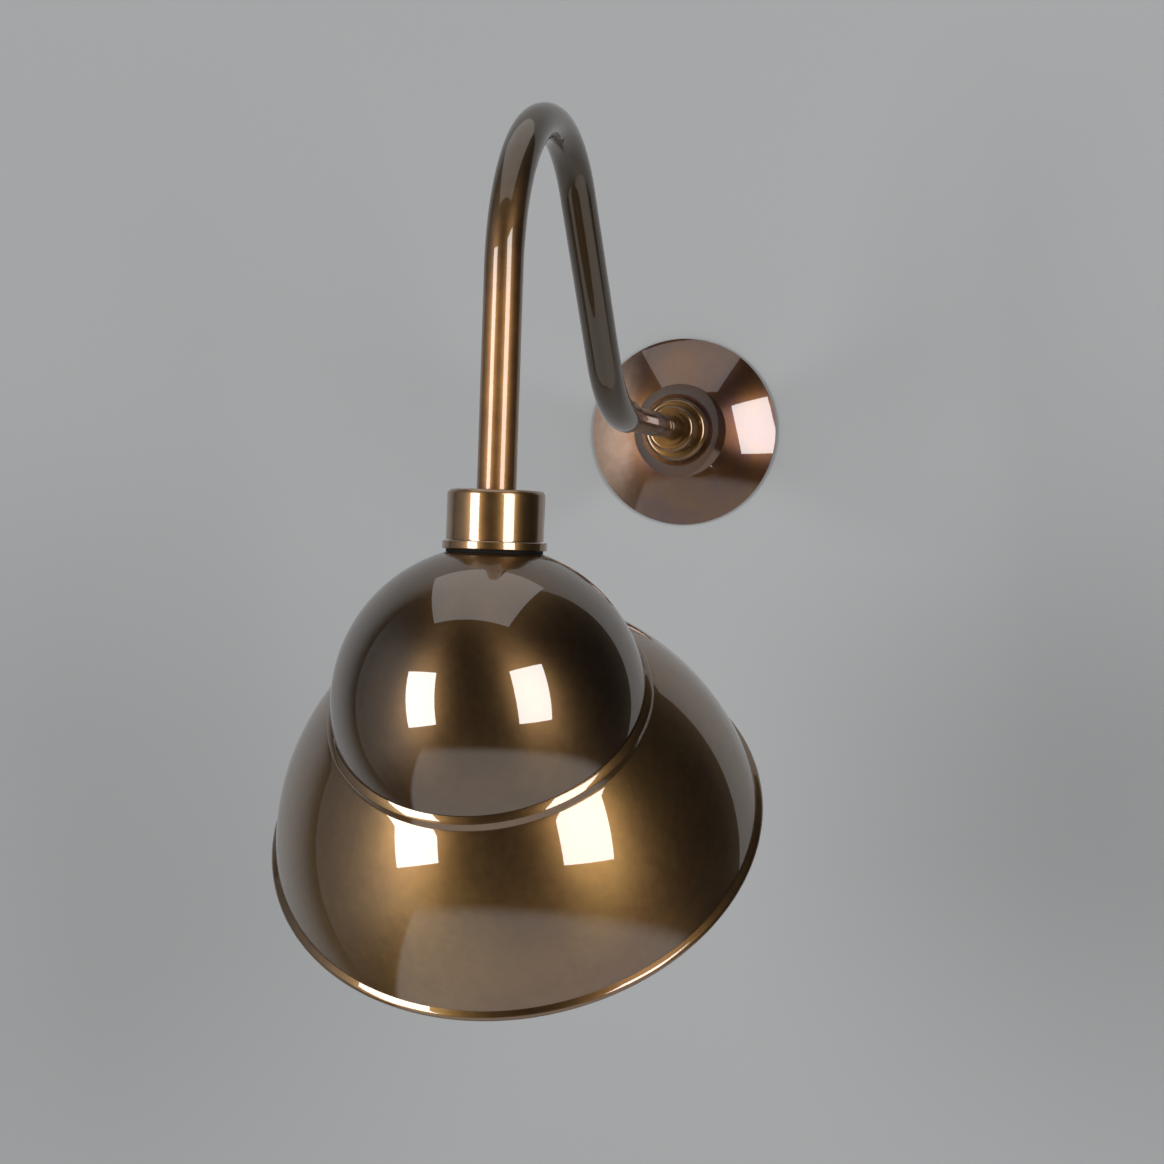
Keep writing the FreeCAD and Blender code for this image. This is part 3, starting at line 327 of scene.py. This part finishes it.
def patina(name, colour, second, clouds, rough, coat_rough=0.02, coat_index=1.9, axis=None,
           drift=None):
    """Lacquered brass: two near colours that drift into each other in clouds, under a clear coat.

    clouds is how many there are to the metre.  axis is that of the lathe or spinning chuck, whose
    marks draw the sheen out along it.  drift is (third colour, direction, low, high): that colour
    takes over as the place along the direction, in metres, passes from low to high.
    """
    made = material(name, colour, Metallic=1.0, Roughness=rough, Coat_Weight=1.0,
                    Coat_Roughness=coat_rough, Coat_IOR=coat_index)
    tree = made.node_tree
    shader = tree.nodes["Principled BSDF"]
    place = node(tree, "ShaderNodeTexCoord").outputs["Object"]
    cloud = node(tree, "ShaderNodeTexNoise",
                 {"Vector": place, "Scale": clouds, "Detail": 5.0, "Roughness": 0.6})
    share = node(tree, "ShaderNodeMapRange", {"Value": cloud.outputs["Fac"], "From Min": 0.35,
                                              "From Max": 0.65}).outputs["Result"]
    tone = node(tree, "ShaderNodeMix", {0: share, 6: linear(colour), 7: linear(second)},
                data_type="RGBA").outputs[2]
    if drift:
        third, direction, low, high = drift
        along = node(tree, "ShaderNodeVectorMath", {0: place, 1: direction},
                     operation="DOT_PRODUCT")
        blur = node(tree, "ShaderNodeMath", {0: share, 1: (high - low) / 3}, operation="MULTIPLY")
        reached = node(tree, "ShaderNodeMath",
                       {0: along.outputs["Value"], 1: blur.outputs["Value"]}, operation="ADD")
        over = node(tree, "ShaderNodeMapRange",
                    {"Value": reached.outputs["Value"], "From Min": low, "From Max": high},
                    interpolation_type="SMOOTHSTEP")
        tone = node(tree, "ShaderNodeMix", {0: over.outputs["Result"], 6: tone, 7: linear(third)},
                    data_type="RGBA").outputs[2]
    grain = node(tree, "ShaderNodeTexNoise",
                 {"Vector": place, "Scale": GRAINS, "Detail": 4.0, "Roughness": 0.7}).outputs["Fac"]
    mottle, gloss = (
        node(tree, "ShaderNodeMapRange", {"Value": grain, "From Min": 0.3, "From Max": 0.7,
                                          "To Min": low, "To Max": high}).outputs["Result"]
        for low, high in ((0.9, 1.06), (rough - 0.015, rough + 0.015))
    )
    speckled = node(tree, "ShaderNodeVectorMath", {0: tone, "Scale": mottle}, operation="SCALE")
    tree.links.new(speckled.outputs["Vector"], shader.inputs["Base Color"])
    tree.links.new(gloss, shader.inputs["Roughness"])
    if axis:
        along = node(tree, "ShaderNodeVectorTransform", {"Vector": axis}, vector_type="VECTOR",
                     convert_from="OBJECT", convert_to="WORLD")
        tree.links.new(along.outputs["Vector"], shader.inputs["Tangent"])
        shader.inputs["Anisotropic"].default_value = DRAWN_OUT
    return made


# Bronzed brass: straw and purple-brown clouds of 29 mm, with a painted sheen that makes it paler
# on the left-hand side, where the light from the left falls on it.
bronze_look = patina("antique_bronze", "#704B24", "#5A3F3A", clouds=34.0, rough=0.3,
                     coat_index=1.75, axis=(0, -1, 0),
                     drift=("#B89A84", (-1, 0, 0), 0.024, 0.044))
edge, crown_edge = (PLATE_RADIUS, PLATE_EDGE), (NECK_TOP, CROWN_REACH)
plate_outline = [(PLATE_RADIUS, 0.0), edge] + arc_past(SHOULDER, edge, PLATE_CURVE)[::-1]
plate_outline += arc_past(SHOULDER, (NECK_TOP, CROWN_REACH - CROWN_FALL), NECK_CURVE)[1:]
plate_outline += [(STEM_HOLE, CROWN_REACH), (STEM_HOLE, CROWN_REACH - SHEET)]
plate_outline += arc_past(np.add(SHOULDER, NECK_FOOT_IN), np.add(crown_edge, NECK_TOP_IN),
                          NECK_CURVE + SHEET)[::-1]
plate_outline += arc_past(np.add(SHOULDER, BAND_FOOT_IN), np.add(edge, EDGE_IN),
                          PLATE_CURVE - SHEET)
plate_outline += [(PLATE_RADIUS + EDGE_IN[0], 0.0)]
wall_plate = turned("wall_plate_spun", plate_outline, on_wall_axis, bronze_look, around=192,
                    sharp=10)
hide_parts("wall_plate")
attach(wall_plate, "plate")

# ------------------------------------------------------------------------------------------------
# Seat ring
# A brass ring turned on the lathe with a rounded front edge, seated on the plate's crown.  The
# stem and the collar in front of it are the frame's own pieces, in the same brass.
# ------------------------------------------------------------------------------------------------
SEAT_RADIUS, SEAT_FRONT, SEAT_ROUND = 17.0, 26.5, 2.5

# Polished turned brass under lacquer: yellower than the plate, with small clouds of 17 mm.
turned_look = patina("polished_brass", "#7E5C32", "#64482A", clouds=60.0, rough=0.3,
                     coat_index=1.6)
seat_outline = [(STEM_HOLE, CROWN_REACH), (SEAT_RADIUS, CROWN_REACH)]
seat_outline += arc((SEAT_RADIUS - SEAT_ROUND, SEAT_FRONT - SEAT_ROUND), SEAT_ROUND, 0, 90)
seat_outline += [(STEM_HOLE, SEAT_FRONT)]
seat_ring = turned("plate_seat_ring_turned", seat_outline, on_wall_axis, turned_look)
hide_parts("plate_seat_ring")
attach(seat_ring, "plate")

# ------------------------------------------------------------------------------------------------
# Gooseneck
# Drawn brass tube bent twice on one former: up out of the stem, then over and straight down.  It
# is brazed to the stem at its wall end.
# ------------------------------------------------------------------------------------------------
TUBE_RADIUS, TUBE_BORE = 8.0, 6.5
STEM_REACH, TUBE_LEAD, BEND = 150.0, 5.0, 70.0
RISE_ANGLE, RISE, DROP = 48.0, 93.5, 89.0
BEND_STEP, STRAIGHT_STEP = 2.0, 8  # between the rings of the mesh


def arm_path():
    """Centreline points (reach, height) and headings from the tube's wall end to its lamp end.

    The heading turns evenly along a bend, so each stretch's chord lies on the middle heading, and
    is shorter than the stretch by the sine of half its turn over half its turn.
    """
    rise = math.radians(RISE_ANGLE)
    runs = [(TUBE_LEAD, 0.0), (BEND * rise, 1 / BEND), (RISE, 0.0),
            (BEND * (math.pi / 2 + rise), -1 / BEND), (DROP, 0.0)]
    point, heading, points, headings = np.array([STEM_REACH - TUBE_LEAD, 0.0]), 0.0, [], []
    for length, curve in runs:
        pieces = max(1, int(round(length / BEND_STEP)) if curve else int(length / STRAIGHT_STEP))
        for i in range(pieces):
            points.append(point.copy())
            headings.append(heading)
            stretch = length / pieces
            half_turn = curve * stretch / 2
            middle = heading + half_turn
            shrink = math.sin(half_turn) / half_turn if curve else 1.0
            point = point + stretch * shrink * np.array([math.cos(middle), math.sin(middle)])
            heading += curve * stretch
    points.append(point)
    headings.append(heading)
    return np.array(points), np.array(headings)


def tube_rings(radius, points, headings, around=96):
    """Rings about the path: the cosine goes sideways, and the sine along the path's normal."""
    angle = np.arange(around) * 2 * np.pi / around
    lift = radius * np.sin(angle)
    reach = points[:, :1] - np.sin(headings)[:, None] * lift
    height = points[:, 1:] + np.cos(headings)[:, None] * lift
    return np.stack([np.broadcast_to(radius * np.cos(angle), reach.shape), -reach, height], -1)


# Antiqued brass in clouds of 38 mm: golden on the drop, and olive brown over the arch and towards
# the wall.
tube_look = patina("antique_brass", "#986E43", "#825C38", clouds=26.0, rough=0.45, coat_index=1.6,
                   drift=("#4E3E2A", (0, 1, 1), -0.37, -0.27))
points, headings = arm_path()
arm_tube = skin("arm_tube_bent", np.concatenate([
    tube_rings(TUBE_RADIUS, points, headings), tube_rings(TUBE_BORE, points, headings)[::-1],
]), tube_look)
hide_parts("arm_tube")
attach(arm_tube, "arm")

# ------------------------------------------------------------------------------------------------
# Cup, flange ring and gasket
# A turned brass cup hides the top of the lampholder and stands on a thin flange ring, with a fine
# dark line between them.  A black rubber gasket is pressed between the ring and the shade.
# ------------------------------------------------------------------------------------------------
CUP_RADIUS, CUP_HEIGHT, CUP_WALL, CUP_ROUND = 19.8, 20.5, 1.2, 2.2
FLANGE_RADIUS, FLANGE_TOP, GASKET_TOP, SEAT_LEVEL = 21.2, 20.8, 24.1, 25.3
GASKET_RADIUS, HOLDER_HOLE, NIPPLE_HOLE = 19.6, 17.3, 5.05
SPIGOT_RADIUS, SPIGOT_LENGTH = 18.55, 3.3  # the ring's spigot, inside the cup
BROKEN_EDGE = 0.3
BRUSH_LINES, BRUSH_DEPTH = 900.0, 0.00004  # to the metre, so 1 mm each, and in metres
BRUSH_SQUEEZE = (0.02, 0.02, 1.0)  # lines run round the axis, so they change only along it


def on_lamp_axis(radius, distance, angle):
    return (radius * np.cos(angle), LAMP_Y * 1000 + radius * np.sin(angle),
            LAMP_Z * 1000 - distance)


# Satin brass: brushed on the lathe, so fine rings run round it and glints are drawn out upright.
satin_look = patina("satin_brass", "#9C7648", "#8A663E", clouds=60.0, rough=0.41, coat_rough=0.05,
                    axis=(0, 0, 1))
tree = satin_look.node_tree
squeezed = node(tree, "ShaderNodeMapping",
                {"Vector": node(tree, "ShaderNodeTexCoord").outputs["Object"],
                 "Scale": BRUSH_SQUEEZE})
brushing = node(tree, "ShaderNodeTexNoise", {"Vector": squeezed.outputs["Vector"],
                                             "Scale": BRUSH_LINES, "Detail": 3.0})
bump = node(tree, "ShaderNodeBump", {"Height": brushing.outputs["Fac"], "Strength": 0.12,
                                     "Distance": BRUSH_DEPTH})
tree.links.new(bump.outputs["Normal"], tree.nodes["Principled BSDF"].inputs["Normal"])
# Rubber: nearly black, with hardly any shine.
rubber_look = material("black_rubber", "#0E0D0C", Roughness=0.7, Specular_IOR_Level=0.15)

cup_corner = (CUP_RADIUS - CUP_ROUND, CUP_ROUND)
cup_outline = [(NIPPLE_HOLE, 0.0)] + arc(cup_corner, CUP_ROUND, 270, 360)
cup_outline += [(CUP_RADIUS, CUP_HEIGHT), (CUP_RADIUS - CUP_WALL, CUP_HEIGHT)]
cup_outline += arc(cup_corner, CUP_ROUND - CUP_WALL, 360, 270, 6) + [(NIPPLE_HOLE, CUP_WALL)]
cup = turned("holder_cup_turned", cup_outline, on_lamp_axis, satin_look)
spigot_top = CUP_HEIGHT - SPIGOT_LENGTH
flange_outline = [
    (HOLDER_HOLE, spigot_top), (SPIGOT_RADIUS, spigot_top), (SPIGOT_RADIUS, FLANGE_TOP),
    (FLANGE_RADIUS - BROKEN_EDGE, FLANGE_TOP), (FLANGE_RADIUS, FLANGE_TOP + BROKEN_EDGE),
    (FLANGE_RADIUS, GASKET_TOP - BROKEN_EDGE), (FLANGE_RADIUS - BROKEN_EDGE, GASKET_TOP),
    (HOLDER_HOLE, GASKET_TOP),
]
flange = turned("cup_flange_turned", flange_outline, on_lamp_axis, satin_look)
gasket_outline = [(HOLDER_HOLE, GASKET_TOP), (GASKET_RADIUS, GASKET_TOP),
                  (GASKET_RADIUS, SEAT_LEVEL), (HOLDER_HOLE, SEAT_LEVEL)]
gasket = turned("shade_gasket_cut", gasket_outline, on_lamp_axis, rubber_look)
for piece, cad, slot in ((cup, "holder_cup", "satin_brass"), (flange, "cup_flange", "satin_brass"),
                         (gasket, "shade_gasket", "black_rubber")):
    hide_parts(cad)
    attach(piece, "arm")

# ------------------------------------------------------------------------------------------------
# Dome
# A hemisphere spun from brass sheet, with its seat and hole pressed off its own axis, so that it
# hangs tilted from the upright lampholder.
# ------------------------------------------------------------------------------------------------
DOME_RADIUS, DOME_SEAT, DOME_LIP = 64.0, 19.6, 1.5
TILT = math.radians(43)
SHADE_AXIS = (0, math.sin(TILT), -math.cos(TILT))
DOME_DROP = 86.2249  # level of the dome's centre
DOME_AROUND = 256
DOME_ANGLES = np.arange(DOME_AROUND) * 2 * np.pi / DOME_AROUND  # round the lamp's axis


def dome_surface(radius, start, steps):
    """Sphere points from the polar angle start down to the lip, by rows and DOME_ANGLES.

    Round the lamp's axis at an angle, the lip lies where sine of polar times sine of angle times
    sine of tilt, less cosine of polar times cosine of tilt, is the lip over the radius.
    """
    a, b = np.sin(DOME_ANGLES) * math.sin(TILT), -math.cos(TILT)
    lean = np.arctan2(a, b)
    lean[lean < 0] += 2 * np.pi
    end = lean - np.arccos(DOME_LIP / radius / np.hypot(a, b))
    polar = start + (end[None, :] - start) * np.linspace(0, 1, steps + 1)[:, None]
    x = radius * np.sin(polar) * np.cos(DOME_ANGLES)
    y = radius * np.sin(polar) * np.sin(DOME_ANGLES)
    z = radius * np.cos(polar)
    return np.stack([x, LAMP_Y * 1000 + y, LAMP_Z * 1000 - DOME_DROP + z], -1)


def hole_row(height):
    """One row round the edge of the lampholder's hole, at a height over the dome's centre."""
    return np.stack([HOLDER_HOLE * np.cos(DOME_ANGLES),
                     LAMP_Y * 1000 + HOLDER_HOLE * np.sin(DOME_ANGLES),
                     np.full(DOME_AROUND, LAMP_Z * 1000 - DOME_DROP + height)], -1)[None]


# Dark olive bronze in clouds of 56 mm: the marks of spinning, round the shade's own axis, draw its
# sheen out across them.
dark_look = patina("dark_bronze", "#6A5032", "#564028", clouds=18.0, rough=0.39, axis=SHADE_AXIS)
seat_height = math.sqrt(DOME_RADIUS ** 2 - DOME_SEAT ** 2)
seat_inside = seat_height - SHEET
outer = dome_surface(DOME_RADIUS, math.asin(DOME_SEAT / DOME_RADIUS), 120)
inner = dome_surface(DOME_RADIUS - SHEET, math.acos(seat_inside / (DOME_RADIUS - SHEET)), 90)
dome = skin("dome_spun", np.concatenate([
    hole_row(seat_height), outer, inner[::-1], hole_row(seat_inside),
]), dark_look, 25)
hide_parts("dome")
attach(dome, "shade")

# ------------------------------------------------------------------------------------------------
# Bowl
# Spun from brass sheet about the shade's tilted axis, and soldered round the dome: a band with a
# sloping face at the neck and a crease below it, then a convex side that ends in a rolled edge.
# ------------------------------------------------------------------------------------------------
BOWL_BORE, BAND_TOP, BAND_STEP, BAND_CURVE = 64.05, -3.7, 2.35, 8.0
NECK, RIM, BOWL_CURVE, WIRE = (66.6, 2.4), (102.3, 70.8), 116.0, 2.0
BAND_CORNER = ((-0.05, -0.1), (0.0, 0.12))  # steps from the band's edge, which round it over
CREASE = ((-0.03, -0.6), (-0.2, -0.3), (-0.25, 0.0), (0.05, 0.2))  # steps from the neck
ROLL_START, ROLL_END = -62, 150  # degrees round the wire that the edge is rolled over


def on_shade_axis(radius, distance, angle):
    """Round the axis tilted about X, which passes through the dome's centre."""
    x, y, z = radius * np.cos(angle), radius * np.sin(angle), -distance
    return (x, LAMP_Y * 1000 + y * math.cos(TILT) - z * math.sin(TILT),
            LAMP_Z * 1000 - DOME_DROP + y * math.sin(TILT) + z * math.cos(TILT))


def arc_before(start, end, radius, steps):
    """The shorter arc between two points, with its centre on their left."""
    return arc_past(end, start, radius, steps)[::-1]


# Warm bronze in clouds of 62 mm: lighter and more golden than the dome, and spun the same way.
warm_look = patina("warm_bronze", "#86673C", "#745434", clouds=16.0, rough=0.39, axis=SHADE_AXIS)
outer_side = arc_before(NECK, RIM, BOWL_CURVE, 60)
side_foot, side_end = np.array(outer_side[0]), np.array(outer_side[-1])
chord = side_end - side_foot
length = np.hypot(*chord)
depth = math.sqrt(BOWL_CURVE ** 2 - length ** 2 / 4)
centre = (side_foot + side_end) / 2 + np.array([-chord[1], chord[0]]) / length * depth
inner_curve = BOWL_CURVE - SHEET
inner_rim = centre + (side_end - centre) * inner_curve / BOWL_CURVE
neck_inside = NECK[1] + SHEET
inner_neck = (centre[0] + math.sqrt(inner_curve ** 2 - (neck_inside - centre[1]) ** 2), neck_inside)
band_edge = (BOWL_BORE + BAND_STEP, BAND_TOP + BAND_STEP)
bowl_outline = arc_before((BOWL_BORE, BAND_TOP), band_edge, BAND_CURVE, 12)[:-1]
bowl_outline += [tuple(np.add(band_edge, step)) for step in BAND_CORNER]
bowl_outline += [tuple(np.add(NECK, step)) for step in CREASE]
bowl_outline += outer_side[1:-2] + arc(RIM, WIRE, ROLL_START, ROLL_END, 24)
bowl_outline += arc_past(inner_rim, inner_neck, inner_curve, 48)[2:] + [(BOWL_BORE, DOME_LIP)]
bowl = turned("bowl_spun", bowl_outline, on_shade_axis, warm_look, around=320, sharp=30)
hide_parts("bowl")
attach(bowl, "shade")

# ------------------------------------------------------------------------------------------------
# Lampholder and bulb
# The black plastic lampholder has a thread outside for the shade ring, and holds a pressed nickel
# shell.  Shell and bulb cap share a rolled thread, in step as the bulb screws out, and the bulb is
# blown glass, frosted inside.
# ------------------------------------------------------------------------------------------------
RING_PITCH, RING_DEPTH, RING_THREAD_TOP = 2.0, 0.6, 26.5
LAMP_PITCH, ROLLED_DEPTH, ROLLED_STEPS = 3.629, 0.9, 14  # steps of the mesh to each pitch
HOLDER_OUT, HOLDER_BORE, HOLDER_SEAT = 17.0, 14.0, 15.6
HOLDER_TOP, INSERT_END, HOLDER_END = 20.0, 32.0, 57.0
SHELL_IN, SHELL_SHEET, SHELL_HOLE, SHELL_END = 13.35, 0.4, 11.95, 54.0
CAP_OUT, CAP_TOP, CAP_SHOULDER, CAP_END, CAP_SHEET = 13.3, 35.3, 38.3, 60.3, 1
CAP_BUTTON = ((4.5, 0.0), (5.0, 0.3))  # (radius, step from the cap's top) of its rounded end
CAP_SHOULDER_ROUND, CAP_PLAIN = (0.9, 0.3), 2.5  # cut off its corner, and unthreaded at its end
GLASS_RADIUS, GLASS_MIDDLE, GLASS_SHEET = 30.0, 107.8, 1
GLASS_WAIST, GLASS_NECK_CURVE = -41.41, 60.0  # degrees where the neck meets the ball


def threaded(pitch, depth, low, high, lead, least=0.0, sharp=False):
    """A wave for turned(): a right-hand thread between two levels on every radius above least."""
    def wave(radius, distance, angle):
        phase = (distance / pitch + angle / (2 * np.pi)) % 1
        shape = np.abs(2 * phase - 1) if sharp else 0.5 + 0.5 * np.cos(2 * np.pi * phase)
        ends = np.clip((distance - low) / lead, 0, 1) * np.clip((high - distance) / lead, 0, 1)
        return radius - np.where(radius > least, depth * shape * ends, 0)
    return wave


def down(radius, low, high, step):
    return [(radius, level) for level in np.linspace(low, high, int(abs(high - low) / step) + 1)]


# Moulded black plastic: smooth, with a soft shine.
holder_look = material("black_holder", "#201E1C", Roughness=0.4)
holder_outline = [(HOLDER_SEAT, HOLDER_TOP)]
holder_outline += down(HOLDER_OUT, HOLDER_TOP, HOLDER_END, RING_PITCH / 10)
holder_outline += [(HOLDER_BORE, HOLDER_END), (HOLDER_BORE, INSERT_END), (HOLDER_SEAT, INSERT_END)]
ring_thread = threaded(RING_PITCH, RING_DEPTH, RING_THREAD_TOP, HOLDER_END, lead=1.0,
                       least=HOLDER_SEAT + 0.1, sharp=True)
holder = turned("holder_body_moulded", holder_outline, on_lamp_axis, holder_look, around=96,
                wave=ring_thread, sharp=60)
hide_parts("holder_body")
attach(holder, "arm")

# Nickel-plated sheet: pale and bright, and slightly blurred.
nickel_look = material("nickel_shell", "#C4C2BA", Metallic=1.0, Roughness=0.22)
shell_step = LAMP_PITCH / ROLLED_STEPS
shell_outline = [(SHELL_HOLE, INSERT_END)]
shell_outline += down(SHELL_IN + SHELL_SHEET, INSERT_END, SHELL_END, shell_step)
shell_outline += down(SHELL_IN, SHELL_END, INSERT_END + SHELL_SHEET, shell_step)
shell_outline += [(SHELL_HOLE, INSERT_END + SHELL_SHEET)]
shell_thread = threaded(LAMP_PITCH, ROLLED_DEPTH, INSERT_END + 1, SHELL_END, lead=2.0, least=12.0)
shell = turned("screw_shell_rolled", shell_outline, on_lamp_axis, nickel_look, around=96,
               wave=shell_thread)
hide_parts("screw_shell")
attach(shell, "arm")

cap_outline = [(0.0, CAP_TOP)] + [(radius, CAP_TOP + step) for radius, step in CAP_BUTTON]
cap_outline += [(CAP_OUT - CAP_SHOULDER_ROUND[0], CAP_SHOULDER - CAP_SHOULDER_ROUND[1])]
cap_outline += down(CAP_OUT, CAP_SHOULDER, CAP_END, shell_step)
cap_outline += [(CAP_OUT - CAP_SHEET, CAP_END), (CAP_OUT - CAP_SHEET, CAP_SHOULDER + CAP_SHEET),
                (0.0, CAP_SHOULDER + CAP_SHEET)]
cap_thread = threaded(LAMP_PITCH, ROLLED_DEPTH, CAP_SHOULDER, CAP_END - CAP_PLAIN, lead=2.0,
                      least=CAP_OUT - 0.01)
cap = turned("bulb_cap_rolled", cap_outline, on_lamp_axis, nickel_look, around=96,
             wave=cap_thread)
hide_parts("bulb_cap")
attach(cap, "bulb")

# Frosted glass: milky and evenly bright, with a faint soft shine.
glass_look = material("frosted_glass", "#F2EFE6", Roughness=0.35, Subsurface_Weight=0.3,
                      Coat_Weight=0.3, Coat_Roughness=0.15)
waist = math.radians(GLASS_WAIST)
ball, glass_inside = (0.0, GLASS_MIDDLE), GLASS_RADIUS - GLASS_SHEET
glass_outline = arc_past((CAP_OUT, CAP_END), (GLASS_RADIUS * math.cos(waist),
                                              GLASS_MIDDLE + GLASS_RADIUS * math.sin(waist)),
                         GLASS_NECK_CURVE, 20)
glass_outline += arc(ball, GLASS_RADIUS, GLASS_WAIST, 90, 40)[1:-1]
glass_outline += [(0.0, GLASS_MIDDLE + GLASS_RADIUS)]
inside = [(0.0, GLASS_MIDDLE + glass_inside)] + arc(ball, glass_inside, 90, GLASS_WAIST, 40)[1:]
inside += arc_past((CAP_OUT - CAP_SHEET, CAP_END), inside[-1],
                   GLASS_NECK_CURVE + GLASS_SHEET, 20)[::-1][1:]
glass = turned("bulb_glass_blown", glass_outline + inside, on_lamp_axis, glass_look, around=96)
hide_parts("bulb_glass")
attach(glass, "bulb")

# ------------------------------------------------------------------------------------------------
# Pieces kept from the CAD frame
# The rest of the light needs no more shape than its solids have: turned brass stem and collar,
# steel bracket and screws, ceramic, nylon, fibre and the wires.  These get their finishes only.
# ------------------------------------------------------------------------------------------------
PLAIN = {  # slot: (colour, metallic, roughness, coat)
    "zinc_steel": ("#B4B5B2", 1.0, 0.3, 0.0),  # plated steel, a cool bright grey
    "solder": ("#A9AAA8", 1.0, 0.45, 0.0),  # a duller grey metal
    "grey_fibre": ("#77716A", 0.0, 0.8, 0.0),  # pressed fibre, quite matt
    "white_ceramic": ("#E9E5DA", 0.0, 0.15, 0.5),  # glazed, with a wet shine
    "white_nylon": ("#E4E1D6", 0.0, 0.4, 0.0),  # moulded, with a soft shine
    "brown_insulation": ("#5A3524", 0.0, 0.4, 0.0),  # soft plastic drawn over the wires
    "blue_insulation": ("#2E5D93", 0.0, 0.4, 0.0),
}
looks = {"polished_brass": turned_look, "nickel_shell": nickel_look, "black_holder": holder_look}
for slot, (colour, metallic, rough, coat) in PLAIN.items():
    looks[slot] = material(slot, colour, Metallic=metallic, Roughness=rough, Coat_Weight=coat)
slots = {entry["node"]: entry["material_slot"] for entry in frame["record"]["subparts"]}
for name, piece in frame["nodes"].items():
    if slots[name] in looks:
        piece.data.materials.clear()
        piece.data.materials.append(looks[slots[name]])
